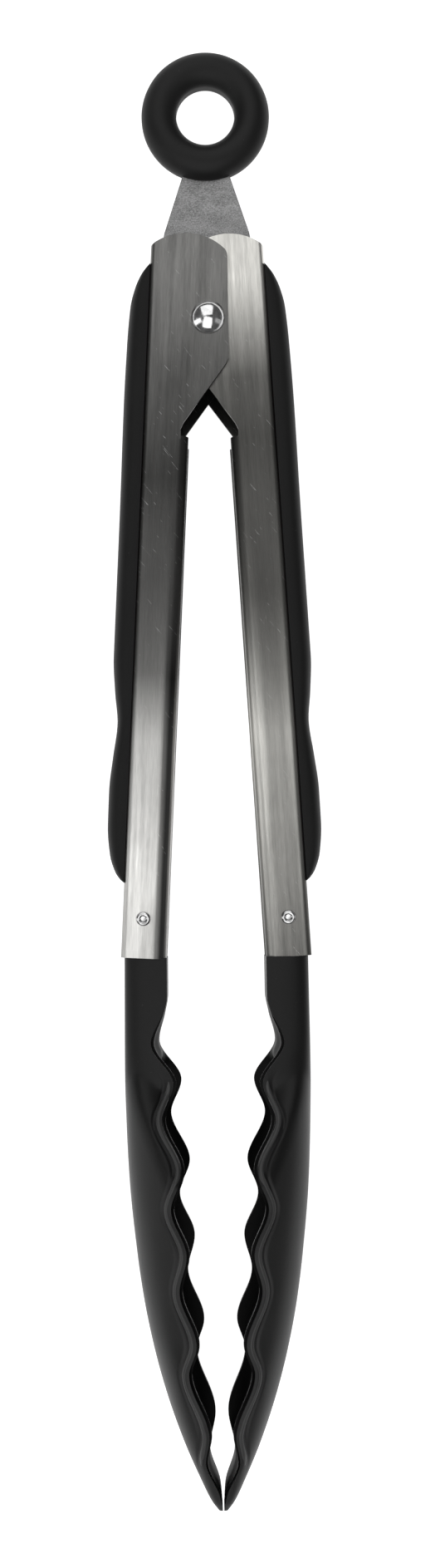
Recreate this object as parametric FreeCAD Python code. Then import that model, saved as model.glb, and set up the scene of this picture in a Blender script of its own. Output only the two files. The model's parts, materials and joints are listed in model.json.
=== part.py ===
import FreeCAD, Part
import math
import os

from FreeCAD import Vector

# Spring loaded kitchen tongs, locked closed and lying on their side.
# Every piece is drawn in the pivot frame: the pivot pin's axis is Z, +Y runs
# towards the hang ring, -Y towards the tips.  One placement at the end tips
# the whole object so that both scoops and the pin's back head rest on Z = 0.
# Lengths are in millimetres, angles in degrees.

# Steel arms: two pressed channels, one turned half a turn about Y
sheet = 0.8
head_width = 19.0
flange_gap = 0.15
closed_angle = 3.19
web_offset = 14.1
arm_reach = 151.2
channel_depth = 10.7
web_bend = 1.3
curl_radius = 2.4
curl_lip = 3.2
curl_start = 28.1

# Flat head of an arm
lobe_peak_x = 5.4
lobe_peak_y = 19.8
head_corner_x = 13.3
head_corner_y = 17.0
lobe_end_x = 4.2
lobe_end_y = 15.9
flange_edge_x = 4.7
flange_edge_bottom = 10.4
chevron_end_x = 6.8
chevron_end_y = 25.4
notch_y = 28.7
edge_round_x = 4.6
edge_round_y = 15.0
edge_round_end_y = 13.9
corner_cut = 0.75

# Pivot rivet
pin_radius = 2.5
pin_fit = 0.05
dome_radius = 3.9
dome_height = 2.5
back_head_radius = 3.4
back_head_height = 1.2

# Torsion spring
wire_radius = 0.8
coil_radius = 4.2
coil_turns = 3.0
coil_pitch = 1.75
coil_bottom = 1.6
leg_length = 46.0
leg_spread = 7.5

# Pull tab and hang ring
tab_thickness = 1.0
tab_top_y = 39.0
tab_ring_half_width = 5.85
tab_ring_y = 35.5
tab_waist_half_width = 10.15
tab_waist_y = 22.6
tab_shoulder_half_width = 11.4
tab_shoulder_y = 16.0
tab_shoulder_length = 7.0
tab_shoulder_round = 2.0
tab_foot_half_width = 6.0
tab_foot_y = -6.5
tab_foot_round = 3.0
lock_travel = 15.0
slot_clearance = 0.1
ring_centre_y = 50.2
ring_radius = 11.0
ring_section = 4.3
hang_hole_radius = 6.95
eye_outer = 13.4
eye_inner = 8.6

# Grips: distance below the pivot and thickness over the web
grip_half_width = 8.7
grip_stations = [
    (-12.2, 0.5),
    (-10.6, 2.1),
    (-7.0, 3.8),
    (-3.0, 4.65),
    (5.0, 5.0),
    (20.0, 5.2),
    (48.0, 5.0),
    (80.0, 5.0),
    (88.5, 4.2),
    (96.0, 3.35),
    (104.0, 4.1),
    (111.0, 4.7),
    (120.0, 4.7),
    (128.0, 3.5),
    (132.0, 1.7),
    (133.6, 0.5),
]
grip_boxiness = 0.62
stud_radius = 2.0
stud_fit = 0.05
stud_places = [16.0, 64.0, 116.0]
stud_length = 2.2
stud_root = 0.3
web_hole_out = 1.0
web_hole_in = 3.0

# Tip rivets
tip_rivet_y = 141.9
tip_rivet_depth = 4.9
tip_rivet_radius = 1.2
tip_rivet_head = 1.7
tip_rivet_head_height = 0.75
tip_rivet_roll = 0.52
tip_rivet_bore = 0.6
tip_rivet_bore_depth = 1.6

# Tips: shell, liner and the plug that fills the end of the channel
plug_length = 23.0
plug_clearance = 0.1
plug_corner = 1.9
plug_web_corner = 0.6
plug_root = 0.8
tip_gap = 0.15
neck_gap = 0.6
neck_straight = 8.0
tip_reach = 281.8
shell_wall = 1.7
liner_wall = 1.7
liner_clearance = 0.1
lip_stand = 1.75
neck_inner_x = 11.7
neck_waist_x = 14.0
neck_waist_y = 170.7
shell_hollow_start = 170.7
shell_hollow_end = 272.2
hollow_start = 173.2
hollow_end = 265.2
hollow_past_middle = 6.0
hollow_roundness = 0.8
hollow_start_share = 0.6
hollow_least_power = 0.6
hollow_start_rise = 3.5
hollow_end_rise = 0.4
hollow_end_narrowing = 0.8
# distance below the pivot, back of the scoop, half width, roundness power
scoop_stations = [
    (151.2, 22.3, 9.4, 0.25),
    (163.0, 22.5, 9.4, 0.28),
    (172.2, 22.5, 9.9, 0.42),
    (180.2, 22.5, 11.6, 0.60),
    (190.2, 22.1, 14.2, 0.64),
    (203.2, 21.5, 16.8, 0.70),
    (221.2, 19.7, 18.5, 0.73),
    (239.2, 16.9, 18.9, 0.73),
    (253.2, 13.3, 16.7, 0.69),
    (265.2, 9.2, 12.9, 0.62),
    (274.2, 5.3, 9.4, 0.55),
    (281.8, 1.3, 5.6, 0.50),
]
# lip of the liner: distance below the pivot and distance from the mid plane
lip_wave = [
    (180.2, 8.8),
    (188.4, 11.4),
    (200.2, 7.05),
    (208.8, 9.6),
    (219.3, 6.1),
    (227.6, 7.85),
    (240.0, 4.05),
    (247.0, 5.9),
    (261.7, 1.55),
    (269.5, 3.0),
    (277.7, 0.5),
]
rim_taper = 22.0
same_point = 1e-6
meshing_fineness = 0.05

# Derived sizes
outer_z = head_width / 2
arm_bottom_z = -outer_z + sheet + flange_gap
rest_drop = max(station[2] for station in scoop_stations)


def rotated(shape, angle, axis):
    """Copy of a shape turned about an axis through the pivot."""
    turned = shape.copy()
    turned.rotate(Vector(0, 0, 0), axis, angle)
    return turned


def half_turn(shape):
    """The same piece turned half a turn about Y, which gives the other side."""
    return rotated(shape, 180, Vector(0, 1, 0))


def rounded_wire(corners, radii):
    """Closed outline in XY with its own radius at every corner."""
    edges = []
    count = len(corners)
    joints = []
    for i in range(count):
        corner = Vector(*corners[i], 0)
        before = (Vector(*corners[i - 1], 0) - corner).normalize()
        after = (Vector(*corners[(i + 1) % count], 0) - corner).normalize()
        radius = radii[i]
        if radius == 0:
            joints.append((corner, None, corner))
            continue
        half = before.getAngle(after) / 2
        run = radius / math.tan(half)
        bisector = (before + after).normalize()
        middle = corner + bisector * (radius / math.sin(half) - radius)
        joints.append((corner + before * run, middle, corner + after * run))
    for i in range(count):
        start, middle, end = joints[i]
        if middle is not None:
            edges.append(Part.Arc(start, middle, end).toShape())
        following = joints[(i + 1) % count][0]
        if end.distanceToPoint(following) > same_point:
            edges.append(Part.makeLine(end, following))
    return Part.Wire(Part.__sortEdges__(edges))


def prism(wire, bottom, top):
    """Solid over an outline in XY between two heights."""
    face = Part.Face(wire)
    face.translate(Vector(0, 0, bottom))
    return face.extrude(Vector(0, 0, top - bottom))


def run_along_y(wire, start, end):
    """Solid with a section drawn as (x, z), from one Y to another."""
    section = rotated(Part.Face(wire), 90, Vector(1, 0, 0))
    section.translate(Vector(0, start, 0))
    return section.extrude(Vector(0, end - start, 0))


def loft(sections):
    """Smooth solid through a row of closed sections."""
    return Part.makeLoft(sections, True, False)


def arm_channel():
    """Curled channel of one arm, web along Y, below the head."""
    left = -web_offset
    right = left + channel_depth
    low = arm_bottom_z
    high = outer_z
    outside = [(right, high - curl_lip), (right, high), (left, high),
               (left, low), (right, low), (right, low + curl_lip)]
    inside = [(right - sheet, low + curl_lip), (right - sheet, low + sheet),
              (left + sheet, low + sheet), (left + sheet, high - sheet),
              (right - sheet, high - sheet), (right - sheet, high - curl_lip)]
    outer_radii = [0, curl_radius, web_bend, web_bend, curl_radius, 0]
    inner_radii = [0, curl_radius - sheet, web_bend - sheet, web_bend - sheet,
                   curl_radius - sheet, 0]
    wire = rounded_wire(outside + inside, outer_radii + inner_radii)
    return run_along_y(wire, -arm_reach, -curl_start)


def head_channel():
    """Plain channel with wide flanges that the head is trimmed from."""
    left = -web_offset
    right = flange_edge_x * 3
    low = arm_bottom_z
    high = outer_z
    corners = [(right, high), (left, high), (left, low), (right, low),
               (right, low + sheet), (left + sheet, low + sheet),
               (left + sheet, high - sheet), (right, high - sheet)]
    bend = web_bend - sheet
    radii = [0, web_bend, web_bend, 0, 0, bend, bend, 0]
    wire = rounded_wire(corners, radii)
    return run_along_y(wire, -curl_start - sheet, lobe_peak_y * 1.5)


def head_trim():
    """Prism over the head's outline: lobed top, straight edge, slanted edge."""
    far_left = -web_offset * 2
    lobe = Part.Arc(Vector(-head_corner_x, head_corner_y, 0),
                    Vector(-lobe_peak_x, lobe_peak_y, 0),
                    Vector(lobe_end_x, lobe_end_y, 0)).toShape()
    shoulder = Part.Arc(Vector(lobe_end_x, lobe_end_y, 0),
                        Vector(edge_round_x, edge_round_y, 0),
                        Vector(flange_edge_x, edge_round_end_y, 0)).toShape()
    points = [(flange_edge_x, edge_round_end_y),
              (flange_edge_x, -flange_edge_bottom + corner_cut),
              (flange_edge_x - corner_cut, -flange_edge_bottom - corner_cut),
              (-chevron_end_x + corner_cut, -chevron_end_y + corner_cut),
              (-chevron_end_x, -chevron_end_y - corner_cut), (-chevron_end_x, -notch_y),
              (far_left, -notch_y), (far_left, head_corner_y),
              (-head_corner_x, head_corner_y)]
    edges = [lobe, shoulder]
    for start, end in zip(points[:-1], points[1:]):
        edges.append(Part.makeLine(Vector(*start, 0), Vector(*end, 0)))
    return prism(Part.Wire(edges), -head_width, head_width)


def local_point(depth, down):
    """Point of the closed left arm, from the web's outer face and down it."""
    point = Vector(-web_offset + depth, -down, 0)
    turn = FreeCAD.Rotation(Vector(0, 0, 1), -closed_angle)
    return turn.multVec(point)


def z_hole(point, radius):
    """Cutter along Z through the whole width."""
    return Part.makeCylinder(radius, head_width * 2, point - Vector(0, 0, head_width))


def web_bore(down, radius, outwards, inwards):
    """Cylinder square to the left web, at a distance down the arm."""
    start = local_point(-outwards, down)
    direction = local_point(inwards, down) - start
    start.z = (outer_z + arm_bottom_z) / 2
    return Part.makeCylinder(radius, outwards + inwards, start, direction)


def left_arm():
    """Pressed steel arm: flat lobed head, then a channel with curled edges."""
    channel = rotated(arm_channel(), -closed_angle, Vector(0, 0, 1))
    head = rotated(head_channel(), -closed_angle, Vector(0, 0, 1))
    head = head.common(head_trim())
    arm = channel.fuse(head).removeSplitter()
    arm = arm.cut(z_hole(Vector(0, 0, 0), pin_radius + pin_fit))
    arm = arm.cut(z_hole(local_point(tip_rivet_depth, tip_rivet_y), tip_rivet_radius))
    for down in stud_places:
        arm = arm.cut(web_bore(down, stud_radius + stud_fit, web_hole_out, web_hole_in))
    return arm


def d_section(down, thickness, half_width, power):
    """Half of a soft oval standing on the web's outer face."""
    points = []
    steps = 12
    for i in range(steps + 1):
        angle = math.pi * (i / steps - 0.5)
        across = math.copysign(abs(math.sin(angle)) ** power, angle) * half_width
        out = max(math.cos(angle), 0) ** power * thickness
        points.append(Vector(-web_offset - out, -down, across))
    curve = Part.BSplineCurve()
    curve.interpolate(points)
    return Part.Wire([curve.toShape(), Part.makeLine(points[-1], points[0])])


def left_grip():
    """Soft moulded grip on the web, with studs pushed through its holes."""
    sections = []
    for down, thickness in grip_stations:
        sections.append(d_section(down, thickness, grip_half_width, grip_boxiness))
    pad = loft(sections)
    pad.translate(Vector(0, 0, (outer_z + arm_bottom_z) / 2))
    grip = rotated(pad, -closed_angle, Vector(0, 0, 1))
    for down in stud_places:
        grip = grip.fuse(web_bore(down, stud_radius, stud_root, stud_length))
    return grip


def scoop_section(down, back, half_width, power, inner):
    """Section of a scoop: an oval back closed by a straight line."""
    points = []
    steps = 16
    for i in range(steps + 1):
        angle = math.pi * (i / steps - 0.5)
        across = math.copysign(abs(math.sin(angle)) ** power, angle) * half_width
        out = max(math.cos(angle), 0) ** power * (back - inner)
        points.append(Vector(-inner - out, -down, across))
    curve = Part.BSplineCurve()
    curve.interpolate(points)
    return Part.Wire([curve.toShape(), Part.makeLine(points[-1], points[0])])


def scoop_body():
    """Solid inside the scoop's outer surface."""
    sections = []
    for down, back, half_width, power in scoop_stations:
        sections.append(scoop_section(down, back, half_width, power, 0.0))
    return loft(sections)


def scoop_hollow(inset, start, end):
    """Solid that hollows a scoop, a given wall inside its outer surface."""
    first_back, first_width = scoop_size_at(start)
    last_back, last_width = scoop_size_at(end)
    first = (first_back - inset - hollow_start_rise, first_width * hollow_start_share)
    last = (last_back - inset - hollow_end_rise, last_width - inset - hollow_end_narrowing)
    sections = [scoop_section(start, *first, hollow_roundness, -hollow_past_middle)]
    for down, back, half_width, power in scoop_stations:
        if start + shell_wall * 2 < down < end - shell_wall * 2:
            sections.append(scoop_section(down, back - inset, half_width - inset,
                                          max(power, hollow_least_power), -hollow_past_middle))
    sections.append(scoop_section(end, *last, hollow_roundness, -hollow_past_middle))
    return loft(sections)


def scoop_size_at(down):
    """Back and half width of the scoop between two stations."""
    for first, second in zip(scoop_stations[:-1], scoop_stations[1:]):
        if first[0] <= down <= second[0]:
            share = (down - first[0]) / (second[0] - first[0])
            back = first[1] + share * (second[1] - first[1])
            width = first[2] + share * (second[2] - first[2])
            return back, width
    return scoop_stations[-1][1], scoop_stations[-1][2]


def rim_prism(stand_back):
    """Everything outside a wavy rim, a distance behind the liner's lip."""
    points = [Vector(-neck_inner_x, -arm_reach, 0),
              Vector(-neck_inner_x, -arm_reach - neck_straight, 0),
              Vector(-neck_waist_x, -neck_waist_y, 0)]
    for down, lip in lip_wave:
        share = min((tip_reach - down) / rim_taper, 1.0)
        points.append(Vector(-lip - stand_back * share, -down, 0))
    last = Vector(-tip_gap, -tip_reach - 1, 0)
    points.append(last)
    wave = Part.BSplineCurve()
    wave.interpolate(points[1:-1])
    far = -web_offset * 3
    edges = [Part.makeLine(points[0], points[1]), wave.toShape(),
             Part.makeLine(points[-2], last),
             Part.makeLine(last, Vector(far, last.y, 0)),
             Part.makeLine(Vector(far, last.y, 0), Vector(far, -arm_reach, 0)),
             Part.makeLine(Vector(far, -arm_reach, 0), points[0])]
    return prism(Part.Wire(edges), -head_width * 2, head_width * 2)


def tip_plug():
    """Block that fills the end of the channel above the tip."""
    left = -web_offset + sheet + plug_clearance
    right = -web_offset + channel_depth - sheet - plug_clearance
    low = arm_bottom_z + sheet + plug_clearance
    high = outer_z - sheet - plug_clearance
    wire = rounded_wire([(left, low), (right, low), (right, high), (left, high)],
                        [plug_web_corner, plug_corner, plug_corner, plug_web_corner])
    block = run_along_y(wire, -arm_reach - plug_root, -arm_reach + plug_length)
    return rotated(block, -closed_angle, Vector(0, 0, 1))


def left_tip_shell():
    """Stiff scoop with its neck and the plug inside the arm."""
    body = scoop_body().common(rim_prism(lip_stand))
    size = tip_reach * 2
    below_arm = Part.makeBox(size, size, size, Vector(-size / 2, -arm_reach - size - neck_gap,
                                                      -size / 2))
    body = body.common(rotated(below_arm, -closed_angle, Vector(0, 0, 1)))
    body = body.cut(scoop_hollow(shell_wall, shell_hollow_start, shell_hollow_end))
    shell = body.fuse(tip_plug()).removeSplitter()
    return shell.cut(z_hole(local_point(tip_rivet_depth, tip_rivet_y), tip_rivet_radius))


def left_tip_liner():
    """Soft lining of the scoop; its wavy lip stands proud of the shell."""
    room = scoop_hollow(shell_wall + liner_clearance, shell_hollow_start + liner_clearance,
                        shell_hollow_end - liner_clearance)
    hollow = scoop_hollow(shell_wall + liner_wall, hollow_start, hollow_end)
    return room.common(rim_prism(0)).cut(hollow)


def left_tip_rivet():
    """Hollow rivet through the channel and the plug, with rolled heads."""
    centre = local_point(tip_rivet_depth, tip_rivet_y)
    low = arm_bottom_z
    high = outer_z
    shank = Part.makeCylinder(tip_rivet_radius, high - low, centre + Vector(0, 0, low))
    rivet = shank
    for face, side in ((high, 1), (low, -1)):
        head = Part.makeCylinder(tip_rivet_head, tip_rivet_head_height,
                                 centre + Vector(0, 0, face), Vector(0, 0, side))
        rim = [edge for edge in head.Edges
               if abs(edge.CenterOfMass.z - face) > tip_rivet_head_height / 2
               and edge.Closed]
        head = head.makeFillet(tip_rivet_roll, rim)
        rivet = rivet.fuse(head)
        bore_start = centre + Vector(0, 0, face + side * tip_rivet_head_height)
        rivet = rivet.cut(Part.makeCylinder(tip_rivet_bore, tip_rivet_bore_depth,
                                            bore_start, Vector(0, 0, -side)))
    return rivet


def dome(radius, height, face, side):
    """Cap of a sphere standing on a face."""
    sphere_radius = (radius ** 2 + height ** 2) / (2 * height)
    ball = Part.makeSphere(sphere_radius, Vector(0, 0, face + side * (height - sphere_radius)))
    slab = Part.makeCylinder(radius * 2, height * 2, Vector(0, 0, face), Vector(0, 0, side))
    return ball.common(slab)


def pivot_rivet():
    """Pin that both arms turn on, domed in front and peened at the back."""
    face = outer_z + pin_fit
    pin = Part.makeCylinder(pin_radius, face * 2, Vector(0, 0, -face))
    pin = pin.fuse(dome(dome_radius, dome_height, face, 1))
    return pin.fuse(dome(back_head_radius, back_head_height, -face, -1))


def torsion_spring():
    """Wire coil round the pin with a leg down the inside of each arm."""
    height = coil_pitch * coil_turns
    helix = Part.makeHelix(coil_pitch, height, coil_radius)
    profile = Part.Wire(Part.makeCircle(wire_radius, Vector(coil_radius, 0, 0), Vector(0, 1, 0)))
    coil = Part.Wire(helix.Edges).makePipeShell([profile], True, True)
    coil.translate(Vector(0, 0, coil_bottom))
    pieces = [coil]
    for side, level in ((1, 0.0), (-1, height)):
        start = Vector(coil_radius * side, 0, coil_bottom + level)
        spread = math.radians(closed_angle + leg_spread)
        direction = Vector(math.sin(spread) * side, -math.cos(spread), 0)
        pieces.append(Part.makeCylinder(wire_radius, leg_length, start, direction))
    return pieces


def pull_tab():
    """Flat steel locking tab: eye inside the ring, tapered flanks, pin slot."""
    flank_slope = (tab_waist_half_width - tab_ring_half_width) / (tab_ring_y - tab_waist_y)
    top_half_width = tab_ring_half_width - (tab_top_y - tab_ring_y) * flank_slope
    right = [(top_half_width, tab_top_y), (tab_waist_half_width, tab_waist_y),
             (tab_shoulder_half_width, tab_shoulder_y),
             (tab_shoulder_half_width, tab_shoulder_y - tab_shoulder_length),
             (tab_foot_half_width, tab_foot_y)]
    radii = [0, 0, tab_shoulder_round, tab_shoulder_round, tab_foot_round]
    left = [(-x, y) for x, y in reversed(right)]
    wire = rounded_wire(right + left, radii + radii[::-1])
    half = tab_thickness / 2
    plate = prism(wire, -half, half)
    eye_centre = Vector(0, ring_centre_y, -half)
    plate = plate.fuse(Part.makeCylinder(eye_outer, tab_thickness, eye_centre))
    plate = plate.cut(Part.makeCylinder(eye_inner, tab_thickness, eye_centre))
    slot_radius = pin_radius + slot_clearance
    for y in (0, lock_travel):
        plate = plate.cut(Part.makeCylinder(slot_radius, tab_thickness, Vector(0, y, -half)))
    slot = Part.makeBox(slot_radius * 2, lock_travel, tab_thickness,
                        Vector(-slot_radius, 0, -half))
    return plate.cut(slot).removeSplitter()


def hang_ring(tab):
    """Round rubber ring moulded over the tab's eye."""
    centre = Vector(0, ring_centre_y, 0)
    ring = Part.makeTorus(ring_radius, ring_section, centre, Vector(0, 0, 1))
    ring = ring.cut(Part.makeCylinder(hang_hole_radius, ring_section * 4,
                                      centre - Vector(0, 0, ring_section * 2)))
    return ring.cut(tab)


def all_pieces():
    """Every node's shape in the pivot frame, closed and locked."""
    arm = left_arm()
    grip = left_grip()
    shell = left_tip_shell()
    liner = left_tip_liner()
    rivet = left_tip_rivet()
    tab = pull_tab()
    pieces = {"pivot_rivet": pivot_rivet(), "torsion_spring": Part.makeCompound(torsion_spring()),
              "pull_tab": tab, "hang_ring": hang_ring(tab)}
    for name, shape in (("arm", arm), ("grip", grip), ("tip_shell", shell),
                        ("tip_liner", liner), ("tip_rivet", rivet)):
        pieces["left_" + name] = shape
        pieces["right_" + name] = half_turn(shape)
    return pieces


def resting_placement(pieces):
    """Placement that lays the closed tongs down with the origin under their middle."""
    back_head_z = outer_z + pin_fit + back_head_height
    scoop_down = max(scoop_stations, key=lambda station: station[2])[0]
    tilt = math.degrees(math.atan2(rest_drop - back_head_z, scoop_down))
    turn = FreeCAD.Placement(Vector(0, 0, 0), FreeCAD.Rotation(Vector(1, 0, 0), -tilt))
    low = [math.inf] * 3
    high = [-math.inf] * 3
    for shape in pieces.values():
        for point in shape.tessellate(meshing_fineness)[0]:
            placed = turn.multVec(point)
            low = [min(a, b) for a, b in zip(low, placed)]
            high = [max(a, b) for a, b in zip(high, placed)]
    move = Vector(-(low[0] + high[0]) / 2, -(low[1] + high[1]) / 2, -low[2])
    return FreeCAD.Placement(move, turn.Rotation)


def main():
    os.makedirs("parts", exist_ok=True)
    pieces = all_pieces()
    placement = resting_placement(pieces)
    for name, shape in pieces.items():
        placed = shape.copy()
        placed.Placement = placement.multiply(placed.Placement)
        placed.exportStep("parts/" + name + ".step")
        print(name, "valid", placed.isValid(), "solids", len(placed.Solids),
              "volume", round(placed.Volume, 1))
    print("pivot", placement.Base, "axis", placement.Rotation.multVec(Vector(0, 0, 1)))


main()
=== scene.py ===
import json
import logging
import math
from bisect import bisect_right
from dataclasses import dataclass, field
from enum import Enum
from typing import Any, Callable, Dict, List, Optional, Sequence, Tuple

import bmesh
import bpy
from mathutils import Matrix, Vector


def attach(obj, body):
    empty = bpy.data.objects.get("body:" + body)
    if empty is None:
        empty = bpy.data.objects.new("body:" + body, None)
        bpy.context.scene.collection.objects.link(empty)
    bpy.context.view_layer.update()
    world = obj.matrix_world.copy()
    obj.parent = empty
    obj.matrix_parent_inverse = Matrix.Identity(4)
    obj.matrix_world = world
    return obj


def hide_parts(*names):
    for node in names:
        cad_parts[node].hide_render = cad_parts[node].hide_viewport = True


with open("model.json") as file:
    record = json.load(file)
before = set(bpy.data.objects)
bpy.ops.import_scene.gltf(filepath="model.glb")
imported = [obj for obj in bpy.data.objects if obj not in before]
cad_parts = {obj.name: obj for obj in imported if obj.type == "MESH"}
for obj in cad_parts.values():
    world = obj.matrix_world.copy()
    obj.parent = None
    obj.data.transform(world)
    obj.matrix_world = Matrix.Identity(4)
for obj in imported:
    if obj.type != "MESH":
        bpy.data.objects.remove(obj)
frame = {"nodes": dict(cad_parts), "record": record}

LOG = logging.getLogger("tongs")
MILLIMETRE = 0.001

# Shared sizes of the tongs, in millimetres in the pivot frame
HEAD_WIDTH = 19.0
WEB_OFFSET = 14.1
CLOSED_ANGLE = math.radians(3.19)
RING_CENTRE = 50.2


class Side(Enum):
    """Which arm a piece belongs to; the right one is the left turned half a turn."""

    LEFT = "left"
    RIGHT = "right"

    @property
    def body(self) -> str:
        """Name of the body that this side's pieces ride on."""
        return self.value + "_arm"

    @property
    def turn(self) -> Matrix:
        """Turn from the left arm to this side's arm."""
        return Matrix.Rotation(math.pi if self is Side.RIGHT else 0.0, 4, "Y")


@dataclass(frozen=True)
class PivotFrame:
    """Place of the hinge pin in the row frame, with millimetres as its unit."""

    matrix: Matrix

    @classmethod
    def from_record(cls, record: Dict[str, Any]) -> "PivotFrame":
        """Read the pin's place and direction from the right arm's hinge.

        Args:
            record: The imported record.

        Returns:
            The pivot frame of this object.
        """
        joints = record["behaviour"]["joints"]
        hinge = next(j for j in joints if j["name"] == "right_arm_hinge")
        axis = Vector(hinge["axis"]).normalized()
        tilt = Matrix.Rotation(-math.asin(axis.y), 4, "X")
        place = Matrix.Translation(Vector(hinge["pos_m"]))
        return cls(place @ tilt @ Matrix.Scale(MILLIMETRE, 4))

    def point(self, x: float, y: float, z: float) -> Vector:
        """Row-frame place of a point given in the pivot frame."""
        return self.matrix @ Vector((x, y, z))

    def direction(self, x: float, y: float, z: float) -> Vector:
        """Row-frame unit direction of a direction in the pivot frame."""
        return (self.matrix.to_3x3() @ Vector((x, y, z))).normalized()


@dataclass(frozen=True)
class Profile:
    """Smooth curve through stations that never overshoots between them."""

    stations: Tuple[Tuple[float, float], ...]

    def slope(self, i: int) -> float:
        """Slope at a station: zero at a crest or a valley."""
        points = self.stations
        if i == 0 or i == len(points) - 1:
            a, b = (0, 1) if i == 0 else (-2, -1)
            return (points[b][1] - points[a][1]) / (points[b][0] - points[a][0])
        before = (points[i][1] - points[i - 1][1]) / (points[i][0] - points[i - 1][0])
        after = (points[i + 1][1] - points[i][1]) / (points[i + 1][0] - points[i][0])
        if before * after <= 0:
            return 0.0
        return 2 * before * after / (before + after)

    def __call__(self, at: float) -> float:
        """Value of the curve at a distance along it."""
        points = self.stations
        if at <= points[0][0]:
            return points[0][1]
        if at >= points[-1][0]:
            return points[-1][1]
        i = bisect_right([p[0] for p in points], at) - 1
        width = points[i + 1][0] - points[i][0]
        t = (at - points[i][0]) / width
        rise = points[i + 1][1] - points[i][1]
        start = self.slope(i) * width
        end = self.slope(i + 1) * width
        return (points[i][1] + start * t + (3 * rise - 2 * start - end) * t * t
                + (start + end - 2 * rise) * t ** 3)


def evenly(start: float, end: float, count: int) -> List[float]:
    """Evenly spaced numbers, both ends included."""
    return [start + (end - start) * i / (count - 1) for i in range(count)]


def ease(t: float) -> float:
    """Smooth step from 0 to 1, flat outside that range."""
    t = min(max(t, 0.0), 1.0)
    return t * t * (3 - 2 * t)


# ---------------------------------------------------------------- finishes


@dataclass
class NodeBench:
    """Short way to add and join nodes of one material."""

    material: bpy.types.Material

    @classmethod
    def fresh(cls, name: str) -> "NodeBench":
        """New material with an empty node tree."""
        material = bpy.data.materials.new(name)
        material.use_nodes = True
        material.node_tree.nodes.clear()
        return cls(material)

    def add(self, kind: str, inputs: Optional[Dict[str, Any]] = None,
            **settings: Any) -> bpy.types.Node:
        """Add a node.

        Args:
            kind: Node type without its ShaderNode prefix.
            inputs: Socket name to a value or to another node's output socket.
            **settings: Attributes of the node itself.

        Returns:
            The new node.
        """
        node = self.material.node_tree.nodes.new("ShaderNode" + kind)
        for key, value in settings.items():
            setattr(node, key, value)
        for key, value in (inputs or {}).items():
            self.feed(node, key, value)
        return node

    def feed(self, node: bpy.types.Node, key: Any, value: Any) -> None:
        """Set a socket, or link another node's output to it."""
        socket = node.inputs[key]
        if isinstance(value, bpy.types.NodeSocket):
            self.material.node_tree.links.new(value, socket)
        else:
            socket.default_value = value

    def object_space(self, scale: Sequence[float], turn: Sequence[float] = (0, 0, 0),
                     shift: Sequence[float] = (0, 0, 0)) -> bpy.types.NodeSocket:
        """Object coordinates, turned first and then stretched."""
        where = self.add("TexCoord").outputs["Object"]
        turned = self.add("Mapping", {"Vector": where, "Rotation": turn, "Location": shift})
        return self.add("Mapping", {"Vector": turned.outputs[0], "Scale": scale}).outputs[0]

    def noise(self, vector: bpy.types.NodeSocket, detail: float = 3.0,
              rough: float = 0.5) -> bpy.types.NodeSocket:
        """Grey noise, with its scale already in the vector."""
        made = self.add("TexNoise", {"Vector": vector, "Scale": 1.0, "Detail": detail,
                                     "Roughness": rough})
        return made.outputs[0]

    def remap(self, value: bpy.types.NodeSocket, low: float, high: float, to_low: float,
              to_high: float) -> bpy.types.NodeSocket:
        """Stretch one range of a value to another, clamped."""
        made = self.add("MapRange", {"Value": value, "From Min": low, "From Max": high,
                                     "To Min": to_low, "To Max": to_high})
        return made.outputs[0]

    def math(self, operation: str, a: Any, b: Any = 0.0) -> bpy.types.NodeSocket:
        """One arithmetic step."""
        return self.add("Math", {0: a, 1: b}, operation=operation).outputs[0]

    def blend(self, factor: Any, first: Any, second: Any) -> bpy.types.NodeSocket:
        """Colour between two colours."""
        node = self.add("Mix", data_type="RGBA")
        self.feed(node, 0, factor)
        self.feed(node, 6, first)
        self.feed(node, 7, second)
        return node.outputs[2]

    def ramp(self, value: bpy.types.NodeSocket,
             stops: Sequence[Tuple[float, float]]) -> bpy.types.NodeSocket:
        """Grey value read from a ramp of (place, grey) stops."""
        node = self.add("ValToRGB", {"Fac": value})
        elements = node.color_ramp.elements
        while len(elements) < len(stops):
            elements.new(0.5)
        for element, (place, grey) in zip(elements, stops):
            element.position = place
            element.color = (grey, grey, grey, 1)
        return node.outputs[0]

    def bump(self, height: Any, strength: float, distance: float,
             under: Optional[bpy.types.NodeSocket] = None) -> bpy.types.NodeSocket:
        """Bumped normal, on top of another one if it is given."""
        node = self.add("Bump", {"Height": height, "Strength": strength,
                                 "Distance": distance})
        if under is not None:
            self.feed(node, "Normal", under)
        return node.outputs[0]

    def surface(self, **inputs: Any) -> bpy.types.Material:
        """Close the tree with the main shader and give the material back."""
        names = {key.replace("_", " "): value for key, value in inputs.items()}
        shader = self.add("BsdfPrincipled", names)
        output = self.add("OutputMaterial")
        self.material.node_tree.links.new(shader.outputs[0], output.inputs["Surface"])
        return self.material


def grey(value: float, warm: float = 0.0) -> Tuple[float, float, float, float]:
    """Grey colour, a little warmer if asked."""
    return (value * (1 + warm), value * (1 + warm * 0.6), value * (1 - warm), 1.0)


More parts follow.
